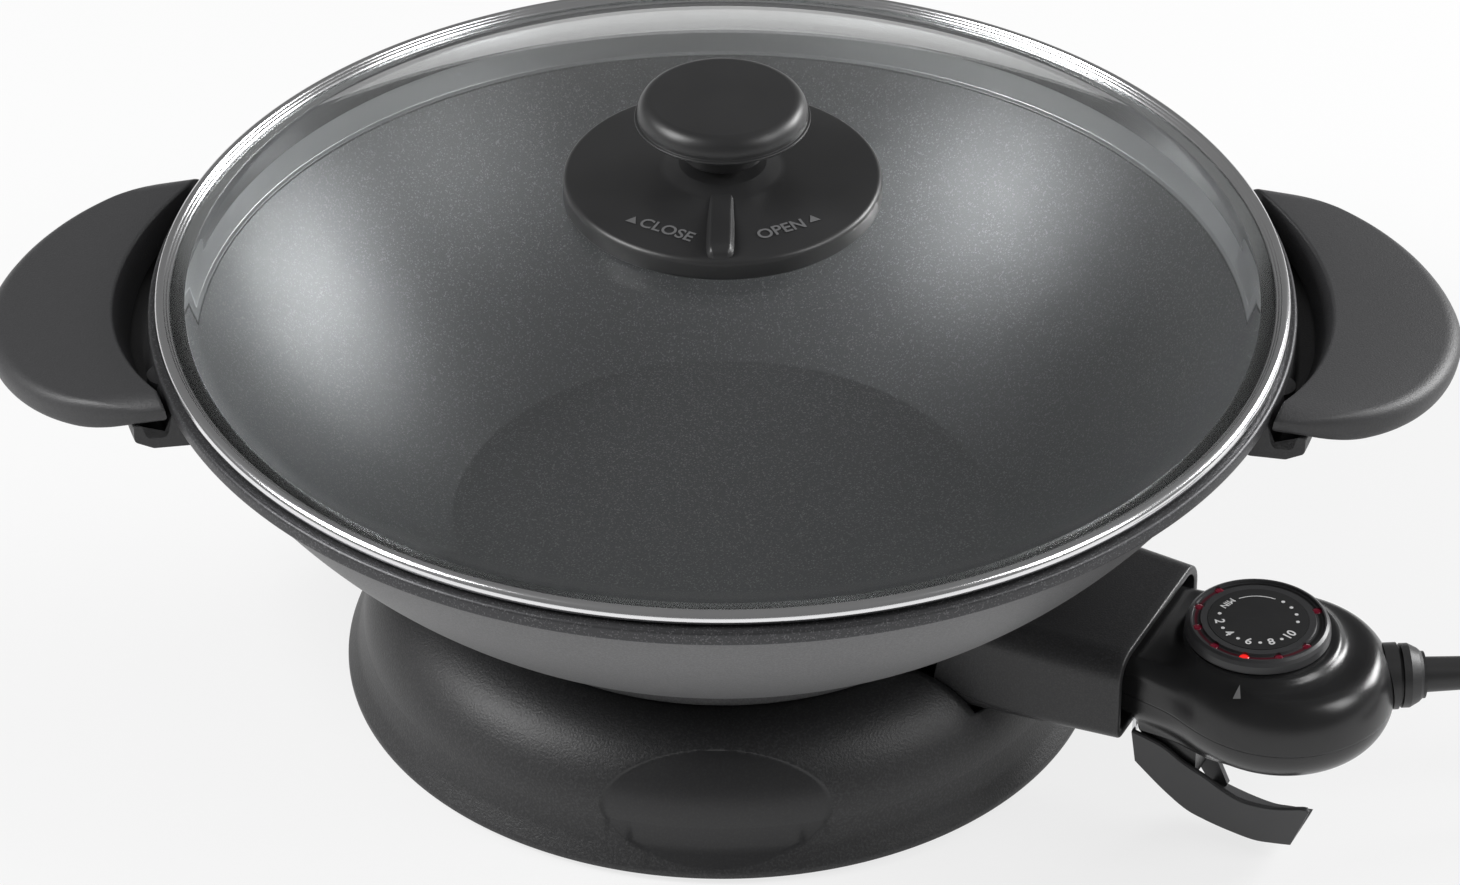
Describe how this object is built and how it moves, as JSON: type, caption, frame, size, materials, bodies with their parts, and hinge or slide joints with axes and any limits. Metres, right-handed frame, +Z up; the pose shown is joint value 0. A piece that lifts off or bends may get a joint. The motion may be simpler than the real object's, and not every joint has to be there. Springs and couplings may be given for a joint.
{
  "type": "electric wok",
  "caption": "Countertop electric wok: deep cast bowl with side handles on a round base, lift-off glass lid with a turning steam vent, plug-in thermostat control and coiled mains cord.",
  "frame": {"origin": "the wok's axis at the level of the table it stands on", "axes": "+Z up, +X to the right along the line through both handles, -Y to the front, where the base has its oval panel"},
  "size_m": [0.8294, 0.36, 0.213],
  "materials": {
    "base_plastic": "textured satin",
    "foot_rubber": "matt",
    "reflector_sheet": "bright",
    "fastener_steel": "plated",
    "cast_bowl": "non-stick coating, satin outside",
    "element_steel": "heat darkened",
    "terminal_ceramic": "unglazed ceramic",
    "terminal_metal": "plated",
    "socket_plastic": "fine texture",
    "handle_plastic": "fine spark texture",
    "lid_glass": "clear, tempered",
    "lid_steel": "polished stainless steel",
    "vent_rubber": "matt silicone",
    "bush_steel": "turned",
    "knob_plastic": "semi gloss",
    "control_plastic": "semi gloss",
    "sensor_steel": "satin",
    "thermostat_metal": "stamped",
    "lamp_red": "clear red lens",
    "dial_plastic": "semi gloss",
    "lever_plastic": "fine texture",
    "cord_sleeve": "matt sleeve",
    "plug_rubber": "moulded",
    "plug_metal": "nickel plated"
  },
  "bodies": {
    "base": {"base_skirt": "base_plastic", "base_cover": "base_plastic", "heat_reflector": "reflector_sheet", "base_foot_1": "foot_rubber", "base_foot_2": "foot_rubber", "base_foot_3": "foot_rubber", "base_foot_4": "foot_rubber", "base_screw_1": "fastener_steel", "base_screw_2": "fastener_steel", "base_screw_3": "fastener_steel"},
    "wok": {"wok_bowl": "cast_bowl", "heating_element": "element_steel", "terminal_block": "terminal_ceramic", "terminal_pin_near": "terminal_metal", "terminal_pin_far": "terminal_metal", "socket_upper": "socket_plastic", "socket_lower": "socket_plastic", "socket_screw": "fastener_steel", "handle_left": "handle_plastic", "handle_right": "handle_plastic", "handle_left_screw_1": "fastener_steel", "handle_left_screw_2": "fastener_steel", "handle_right_screw_1": "fastener_steel", "handle_right_screw_2": "fastener_steel"},
    "lid": {"lid_glass": "lid_glass", "lid_band": "lid_steel", "vent_seal": "vent_rubber", "vent_bush": "bush_steel", "lid_knob": "knob_plastic", "knob_cap": "knob_plastic", "knob_screw": "fastener_steel", "knob_washer": "fastener_steel"},
    "vent": {"vent_disc": "knob_plastic"},
    "control": {"control_top": "control_plastic", "control_bottom": "control_plastic", "sensor_rod": "sensor_steel", "thermostat": "thermostat_metal", "lamp_ring": "lamp_red", "lever_pin": "fastener_steel", "lever_spring": "fastener_steel", "control_screw_1": "fastener_steel", "control_screw_2": "fastener_steel", "cord_collar": "control_plastic", "strain_relief": "cord_sleeve", "cord_lead": "cord_sleeve", "cord_coil": "cord_sleeve", "cord_tail": "cord_sleeve", "plug_body": "plug_rubber", "plug_pin_1": "plug_metal", "plug_pin_2": "plug_metal"},
    "dial_body": {"dial": "dial_plastic", "dial_face": "dial_plastic", "dial_spindle": "fastener_steel"},
    "lever": {"release_lever": "lever_plastic"}
  },
  "joints": [
    {"name": "wok_lift", "type": "slide", "parent": "base", "child": "wok", "axis": [0, 0, 1], "range_m": [0, 0.12]},
    {"name": "lid_lift", "type": "slide", "parent": "wok", "child": "lid", "axis": [0, 0, 1], "range_m": [0, 0.15]},
    {"name": "vent_turn", "type": "hinge", "parent": "lid", "child": "vent", "pos_m": [0, 0, 0.185], "axis": [0, 0, 1], "range_deg": [0, 40]},
    {"name": "control_pull", "type": "slide", "parent": "wok", "child": "control", "axis": [0.9063, -0.4226, 0], "range_m": [0, 0.06]},
    {"name": "dial_turn", "type": "hinge", "parent": "control", "child": "dial_body", "pos_m": [0.1673, -0.07802, 0.07], "axis": [0, 0, 1], "range_deg": [-150, 140]},
    {"name": "lever_squeeze", "type": "hinge", "parent": "control", "child": "lever", "pos_m": [0.1484, -0.08354, 0.0221], "axis": [-0.4226, -0.9063, 0], "range_deg": [0, 8], "stiffness_Nm_per_rad": 0.3, "springref_deg": -8.59}
  ]
}
